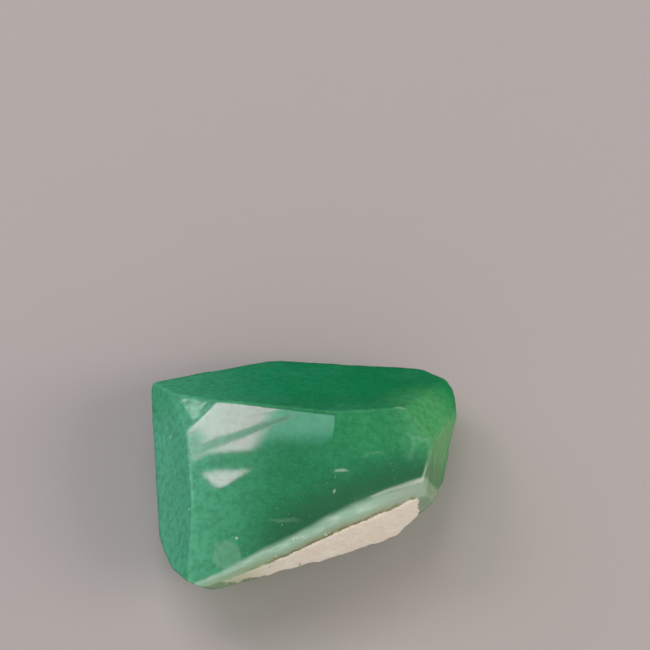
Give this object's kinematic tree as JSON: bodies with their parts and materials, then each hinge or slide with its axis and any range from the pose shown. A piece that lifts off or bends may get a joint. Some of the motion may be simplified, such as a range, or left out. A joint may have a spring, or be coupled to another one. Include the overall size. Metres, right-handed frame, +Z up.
{
  "type": "raw jade stone",
  "caption": "Rough broken piece of green jade with a pale band and a chalky rind along an edge, lying on its flat underside.",
  "frame": {"origin": "middle of the box at the height of the flat underside", "axes": "+X along the long side, to the right; -Y towards the rind at the front; +Z up"},
  "size_m": [0.0476, 0.041, 0.024],
  "materials": {
    "jade": "fresh broken jade with a waxy gloss, chalky matt rind along the front edge"
  },
  "bodies": {
    "root": {"jade_stone": "jade"}
  },
  "joints": []
}
